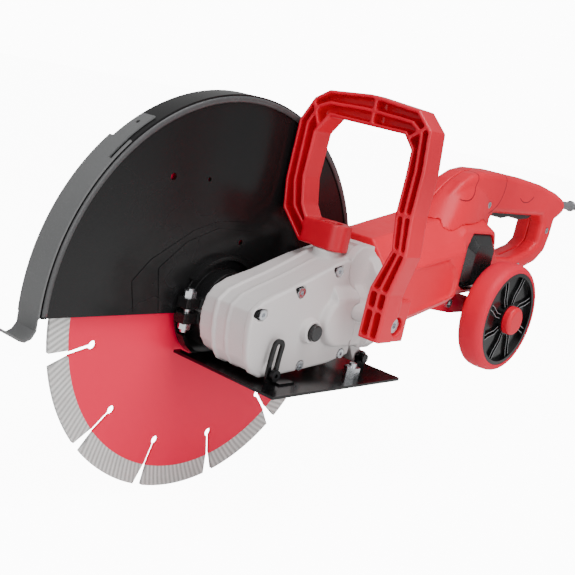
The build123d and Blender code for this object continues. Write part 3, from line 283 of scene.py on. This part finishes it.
def segment_mat():
    """Sintered, ground rim segments: fine diagonal grooves and coarse metal grain."""
    m, nt, b = new_mat("diamond_segment")
    v = coords(nt)
    sep = nt.nodes.new("ShaderNodeSeparateXYZ")
    off = nt.nodes.new("ShaderNodeVectorMath")
    off.operation = "SUBTRACT"
    nt.links.new(v, off.inputs[0])
    off.inputs[1].default_value = P(0, 0, 0)
    nt.links.new(off.outputs[0], sep.inputs[0])
    ang = nt.nodes.new("ShaderNodeMath"); ang.operation = "ARCTAN2"
    nt.links.new(sep.outputs["Z"], ang.inputs[0])
    nt.links.new(sep.outputs["X"], ang.inputs[1])
    ln = nt.nodes.new("ShaderNodeVectorMath"); ln.operation = "LENGTH"
    flat = nt.nodes.new("ShaderNodeVectorMath"); flat.operation = "MULTIPLY"
    nt.links.new(off.outputs[0], flat.inputs[0])
    flat.inputs[1].default_value = (1, 0, 1)
    nt.links.new(flat.outputs[0], ln.inputs[0])
    rr = nt.nodes.new("ShaderNodeMath"); rr.operation = "MULTIPLY_ADD"
    nt.links.new(ln.outputs["Value"], rr.inputs[0])
    rr.inputs[1].default_value = 520.0
    a2 = nt.nodes.new("ShaderNodeMath"); a2.operation = "MULTIPLY"
    nt.links.new(ang.outputs[0], a2.inputs[0])
    a2.inputs[1].default_value = 200.0
    nt.links.new(a2.outputs[0], rr.inputs[2])
    si = nt.nodes.new("ShaderNodeMath"); si.operation = "SINE"
    nt.links.new(rr.outputs[0], si.inputs[0])
    g = noise(nt, v, 1300.0, 3.0, 0.7)
    big = noise(nt, v, 60.0, 5.0, 0.6)
    groove = mapr(nt, si.outputs[0], 0.0, 1.0, -1.0, 1.0)
    c = mixc(nt, groove, (0.40, 0.40, 0.39), (0.93, 0.93, 0.91))
    c = mixc(nt, mapr(nt, g, 0.0, 0.7, 0.42, 0.66), c, (0.74, 0.73, 0.71))
    c = mixc(nt, mapr(nt, big, 0.0, 0.35, 0.4, 0.7), c, (0.56, 0.55, 0.53))
    nt.links.new(c, b.inputs["Base Color"])
    b.inputs["Metallic"].default_value = 0.30
    nt.links.new(mapr(nt, g, 0.38, 0.62), b.inputs["Roughness"])
    add = nt.nodes.new("ShaderNodeMath"); add.operation = "MULTIPLY_ADD"
    nt.links.new(g, add.inputs[0]); add.inputs[1].default_value = 0.6
    nt.links.new(groove, add.inputs[2])
    bump(nt, b, add.outputs[0], 0.55, 0.0003)
    return m


M["segment"] = segment_mat()


def set_mat(obj, m):
    obj.data.materials.clear()
    obj.data.materials.append(m)


NODE_MAT = {
    "cast": ["gear_housing", "gear_cover"],
    "steel": ["spindle", "spindle_gear", "intermediate_shaft", "intermediate_pinion", "bevel_gear", "bevel_pinion", "armature_shaft",
              "blade_flanges", "axle"],
    "zinc": ["cover_screws", "arbor_bolt", "base_bolt", "bracket_screws", "handle_screws", "top_handle_bolts", "guard_clamp_bolt"],
    "dark_steel": ["depth_screw"],
    "bright": ["gear_bearings", "motor_bearings"],
    "core_red": ["blade_core"], "segment": ["blade_segments"],
    "guard_black": ["guard_shell", "guard_collar"], "guard_grey": ["guard_extension"],
    "plate_black": ["base_plate", "depth_bracket", "base_hinge_pin"],
    "red_plastic": ["motor_housing", "wheel_cap_left", "wheel_cap_right"],
    "red_grip": ["rear_handle_left", "rear_handle_right"],
    "red_handle": ["top_handle"],
    "black_plastic": ["vent_covers", "trigger", "lock_button", "spindle_lock_button", "switch_module", "brush_holders", "cooling_fan",
                      "cord_tie"],
    "hub_black": ["wheel_hub_left", "wheel_hub_right"],
    "red_rubber": ["wheel_tyre_left", "wheel_tyre_right"],
    "relief_painted_highlight": ["strain_relief"],
    "black_rubber": ["plug_body", "power_cord", "cord_coil", "cord_tail"],
    "copper": ["armature_windings", "field_coils", "commutator"],
    "lamination": ["armature_core", "stator_core"],
    "carbon": ["carbon_brushes"], "red_metal": ["axle_bracket"], "brass": ["plug_pins"],
}
for key, names in NODE_MAT.items():
    for n in names:
        set_mat(N[n], M[key])


def dress(obj, width=0.0006, segments=2, angle=32.0, weld=True):
    """Break the sharp edges of a piece, and shade it smooth between them."""
    obj.data.shade_smooth() if hasattr(obj.data, "shade_smooth") else None
    if weld:
        w = obj.modifiers.new("weld", "WELD")
        w.merge_threshold = 0.000004
    if width > 0:
        b = obj.modifiers.new("edge", "BEVEL")
        b.width = width
        b.segments = segments
        b.limit_method = "ANGLE"
        b.angle_limit = math.radians(angle)
        b.use_clamp_overlap = True
    wn = obj.modifiers.new("normals", "WEIGHTED_NORMAL")
    wn.mode = "FACE_AREA"
    wn.weight = 80
    wn.keep_sharp = True
    return obj


BEVELS = {"gear_housing": 0.0014, "gear_cover": 0.0010, "top_handle": 0.0010, "guard_shell": 0.0005, "guard_extension": 0.0003,
          "base_plate": 0.0004, "motor_housing": 0.0030, "rear_handle_left": 0.0010, "rear_handle_right": 0.0010, "vent_covers": 0.0010,
          "blade_core": 0.0002, "blade_segments": 0.0003, "axle_bracket": 0.0008, "guard_collar": 0.0006}
for n, o in N.items():
    dress(o, BEVELS.get(n, 0.0003))



def link(name, me, mat, body):
    ob = bpy.data.objects.new(name, me)
    bpy.context.scene.collection.objects.link(ob)
    if mat is not None:
        ob.data.materials.clear()
        ob.data.materials.append(mat)
    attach(ob, body)
    return ob


def moulded(node, body, mat, voxel, rounds, factor=0.5):
    """A casting or moulding with the soft edges and fillets a mould leaves: the node's
    solid, resampled and relaxed."""
    src = N[node]
    me = src.data.copy()
    ob = bpy.data.objects.new("tmp_" + node, me)
    bpy.context.scene.collection.objects.link(ob)
    w = ob.modifiers.new("weld", "WELD")
    w.merge_threshold = 0.000004
    r = ob.modifiers.new("remesh", "REMESH")
    r.mode = "VOXEL"
    r.voxel_size = voxel
    r.use_smooth_shade = True
    sm = ob.modifiers.new("relax", "SMOOTH")
    sm.factor = factor
    sm.iterations = rounds
    dg = bpy.context.evaluated_depsgraph_get()
    new = bpy.data.meshes.new_from_object(ob.evaluated_get(dg))
    bpy.data.objects.remove(ob)
    new.name = node + "_moulded"
    out = link(node + "_moulded", new, mat, body)
    new.shade_smooth()
    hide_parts(node)
    return out


q = 1.0
moulded("motor_housing", "saw_body", M["red_plastic"], 0.0015 * q, 5)
moulded("rear_handle_left", "saw_body", M["red_grip"], 0.0014 * q, 7)
moulded("rear_handle_right", "saw_body", M["red_grip"], 0.0014 * q, 7)
moulded("top_handle", "saw_body", M["red_handle"], 0.0010 * q, 3)
moulded("gear_housing", "saw_body", M["cast"], 0.0011 * q, 3)
moulded("gear_cover", "saw_body", M["cast"], 0.0009 * q, 3)


def flat_piece(name, polys, y, depth, mat, body):
    """Thin sheets lying in the side face, here near-black painted shade on the cover's pocket floors: each outline is a
    list of (x, z) in mm.
    """
    bm = bmesh.new()
    for pts in polys:
        a = [bm.verts.new(P(x, y, z)) for x, z in pts]
        c = [bm.verts.new(P(x, y - depth, z)) for x, z in pts]
        bm.faces.new(a)
        bm.faces.new(list(reversed(c)))
        n = len(pts)
        for i in range(n):
            bm.faces.new((a[i], c[i], c[(i + 1) % n], a[(i + 1) % n]))
    bmesh.ops.recalc_face_normals(bm, faces=bm.faces)
    me = bpy.data.meshes.new(name)
    bm.to_mesh(me)
    bm.free()
    ob = link(name, me, mat, body)
    b = ob.modifiers.new("edge", "BEVEL")
    b.width = 0.0001
    b.limit_method = "ANGLE"
    return ob


# near-black sheets on the floors of the cover's screw pockets: painted shade
POCKETS = [[(43.2, 25.9), (31.7, 24.1), (30.8, 17.8), (38.9, 15.0), (46.1, 16.6), (46.8, 21.5)],
           [(1.0, 42.7), (-11.4, 44.8), (-15.0, 38.0), (-9.8, 33.8), (-2.1, 38.2)],
           [(-46.7, 60.3), (-59.8, 63.0), (-61.2, 56.0), (-56.4, 52.2), (-49.2, 56.3)]]
flat_piece("cover_pocket_floors", POCKETS, 92.75, 0.3, M["pocket"], "saw_body")


def ring(name, cx, cz, r0, r1, y, depth, mat, body, n=40):
    bm = bmesh.new()
    rows = []
    for (r, yy) in ((r0, y - depth), (r0, y), (r1, y), (r1, y - depth)):
        rows.append([bm.verts.new(P(cx + r * math.cos(2 * math.pi * k / n), yy, cz + r * math.sin(2 * math.pi * k / n))) for k in range(n)])
    for i in range(4):
        a, b = rows[i], rows[(i + 1) % 4]
        for k in range(n):
            bm.faces.new((a[k], a[(k + 1) % n], b[(k + 1) % n], b[k]))
    bmesh.ops.recalc_face_normals(bm, faces=bm.faces)
    me = bpy.data.meshes.new(name)
    bm.to_mesh(me)
    bm.free()
    me.shade_smooth()
    ob = link(name, me, mat, body)
    b = ob.modifiers.new("edge", "BEVEL")
    b.width = 0.00012
    b.limit_method = "ANGLE"
    return ob


for i, (x, z) in enumerate(((-27.8, -29.2), (-85.0, -21.8))):
    ring("cover_screw_shadow_%d" % i, x, z, 4.3, 5.15, 91.9, 0.3, M["pocket"], "saw_body")


def rib_strips(name, side, body, hub_x, hub_z):
    """Light grey strips on the crests of the hub's kinked ribs: painted highlight."""
    bm = bmesh.new()
    yy = 143.72 if side > 0 else 124.0 - 143.72
    dy = -0.3 if side > 0 else 0.3
    for k in range(8):
        a0 = math.radians(45 * k + 12)
        for off in (-2.6, 2.6):
            line = [(17.2, off * 0.8), (25.5, off * 0.9), (36.5, off + 4.2), (45.6, off + 5.8)]
            rows = []
            for i, (u, v) in enumerate(line):
                p = line[max(0, i - 1)]
                q2 = line[min(len(line) - 1, i + 1)]
                L = math.hypot(q2[0] - p[0], q2[1] - p[1])
                nx, nz = -(q2[1] - p[1]) / L * 0.36, (q2[0] - p[0]) / L * 0.36
                row = []
                for (sx, ddy) in ((1, 0), (-1, 0), (-1, dy), (1, dy)):
                    uu, vv = u + nx * sx, v + nz * sx
                    row.append(bm.verts.new(P(hub_x + uu * math.cos(a0) - vv * math.sin(a0), yy + ddy, hub_z + uu * math.sin(a0) + vv * math.cos(a0))))
                rows.append(row)
            for a, b in zip(rows[:-1], rows[1:]):
                for j in range(4):
                    bm.faces.new((a[j], a[(j + 1) % 4], b[(j + 1) % 4], b[j]))
            bm.faces.new(rows[0])
            bm.faces.new(list(reversed(rows[-1])))
    bmesh.ops.recalc_face_normals(bm, faces=bm.faces)
    me = bpy.data.meshes.new(name)
    bm.to_mesh(me)
    bm.free()
    return link(name, me, M["rib_grey"], body)


rib_strips("wheel_rib_crests_left", 1, "wheel_left", -300.0, 18.95)
rib_strips("wheel_rib_crests_right", -1, "wheel_right", -300.0, 18.95)


def rolled_edge(name):
    """The rolled bead round the guard's near face, coloured a lighter black as a painted highlight."""
    bm = bmesh.new()
    n, m = 160, 10
    rows = []
    for i in range(n + 1):
        a = math.radians(-1.0 + 182.0 * i / n)
        row = []
        for j in range(m):
            t = 2 * math.pi * j / m
            r = 188.1 + 2.75 * math.cos(t)
            yy = 7.55 + 1.15 * math.sin(t)
            row.append(bm.verts.new(P(r * math.cos(a), yy, r * math.sin(a))))
        rows.append(row)
    for a, b in zip(rows[:-1], rows[1:]):
        for j in range(m):
            bm.faces.new((a[j], a[(j + 1) % m], b[(j + 1) % m], b[j]))
    bm.faces.new(rows[0])
    bm.faces.new(list(reversed(rows[-1])))
    bmesh.ops.recalc_face_normals(bm, faces=bm.faces)
    me = bpy.data.meshes.new(name)
    bm.to_mesh(me)
    bm.free()
    me.shade_smooth()
    return link(name, me, M["guard_edge"], "guard")


rolled_edge("guard_rolled_edge")

# ------------------------------------------------------------------ cord
FLOOR = -177.5
D = 8.5
R = D / 2
ROUTE = [(-533, 62, 134.6), (-561, 62, 134.6), (-589, 62, 133.2), (-629, 64, 117), (-659, 68, 80), (-676, 74, 32), (-687, 79, -19),
         (-697, 85, -69), (-709, 94, -115), (-722, 113, -151), (-731, 153, -170), (-733, 203, FLOOR + R + 0.05)]
KX, KY = -686.537, 204.859


def nurbs(name, pts, bevel, mat):
    cu = bpy.data.curves.new(name, "CURVE")
    cu.dimensions = "3D"
    sp = cu.splines.new("NURBS")
    sp.points.add(len(pts) - 1)
    for p, q in zip(sp.points, pts):
        p.co = (*P(*q), 1.0)
    sp.order_u = 3
    sp.use_endpoint_u = True
    sp.resolution_u = 12
    cu.bevel_depth = bevel
    cu.bevel_resolution = 5
    cu.use_fill_caps = True
    ob = bpy.data.objects.new(name, cu)
    bpy.context.scene.collection.objects.link(ob)
    ob.data.materials.append(mat)
    return ob


# the turns: three beside the floor, then two lying in the grooves above
coil = []
seq = [(52.2, 6.0), (43.6, 6.2), (43.7, 14.8), (52.3, 14.9), (48.0, 23.0)]
steps = 16
a0 = math.atan2(ROUTE[-1][1] - KY, ROUTE[-1][0] - KX)
turn_dir = -1
total_turns = 4.75
cnt = int(total_turns * steps)
for i in range(2, cnt + 1):
    t = i / steps
    k = min(int(t), len(seq) - 1)
    f = t - k
    r0, z0 = seq[k]
    r1, z1 = seq[min(k + 1, len(seq) - 1)]
    w = max(0.0, (f - 0.72) / 0.28)
    w = w * w * (3 - 2 * w)
    if i < steps // 2:
        s = i / (steps / 2)
        r0 = 46.5 + (r0 - 46.5) * s
        z0 = R + 0.05 + (z0 - R - 0.05) * s
    a = a0 + turn_dir * 2 * math.pi * t
    coil.append((KX + (r0 + (r1 - r0) * w) * math.cos(a), KY + (r0 + (r1 - r0) * w) * math.sin(a), FLOOR + z0 + (z1 - z0) * w))
end_a = a0 + turn_dir * 2 * math.pi * total_turns
tail = [(KX - 18, KY - 48.4, FLOOR + 21.4), (KX - 32, KY - 47.0, FLOOR + 19.8), (KX - 44, KY - 46.5, FLOOR + 19.0), (KX - 54.6, KY - 46.5, FLOOR + 19.0)]
flex = nurbs("flex", ROUTE + coil + tail, R / 1000.0, M["black_rubber"])
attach(flex, "saw_body")
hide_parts("power_cord", "cord_coil", "cord_tail")

# ------------------------------------------------------------------ stage
floor_mat, nt, b = new_mat("stage_floor")
v = coords(nt)
c = mixc(nt, noise(nt, v, 3.0, 3.0), (0.93, 0.93, 0.93), (0.95, 0.95, 0.95))
nt.links.new(c, b.inputs["Base Color"])
b.inputs["Roughness"].default_value = 0.9
b.inputs["Specular IOR Level"].default_value = 0.1
b.inputs["Emission Color"].default_value = (1, 1, 1, 1)
lp = nt.nodes.new("ShaderNodeLightPath")
nt.links.new(mapr(nt, lp.outputs["Is Camera Ray"], 0.0, 11.0), b.inputs["Emission Strength"])
me = bpy.data.meshes.new("floor")
bm = bmesh.new()
S = 12.0
zf = P(0, 0, FLOOR).z - 0.0002
vs = [bm.verts.new((x, y, zf)) for x, y in ((-S, -S), (S, -S), (S, S), (-S, S))]
bm.faces.new(vs)
bm.to_mesh(me); bm.free()
floor = bpy.data.objects.new("floor", me)
bpy.context.scene.collection.objects.link(floor)
floor.data.materials.append(floor_mat)

world = bpy.data.worlds.new("studio")
bpy.context.scene.world = world
world.use_nodes = True
bg = world.node_tree.nodes["Background"]
bg.inputs["Color"].default_value = (1, 1, 1, 1)
wt = world.node_tree
lp = wt.nodes.new("ShaderNodeLightPath")
wt.links.new(mapr(wt, lp.outputs["Is Camera Ray"], 0.42, 12.0), bg.inputs["Strength"])


def area(name, loc, target, size, power, col=(1, 1, 1)):
    ld = bpy.data.lights.new(name, "AREA")
    ld.shape = "RECTANGLE"
    ld.size, ld.size_y = size
    ld.energy = power
    ld.color = col
    lo = bpy.data.objects.new(name, ld)
    bpy.context.scene.collection.objects.link(lo)
    lo.location = loc
    d = (Vector(target) - Vector(loc)).normalized()
    lo.rotation_euler = d.to_track_quat("-Z", "Y").to_euler()
    return lo


ctr = P(-120, 50, 20)
area("key_top", ctr + Vector((0.1, 0.5, 1.5)), ctr, (1.4, 1.0), 22)
area("side_left", ctr + Vector((0.2, 1.9, 0.5)), ctr, (1.2, 1.2), 14)
area("front", ctr + Vector((1.8, 0.4, 0.5)), ctr, (0.8, 1.2), 8)
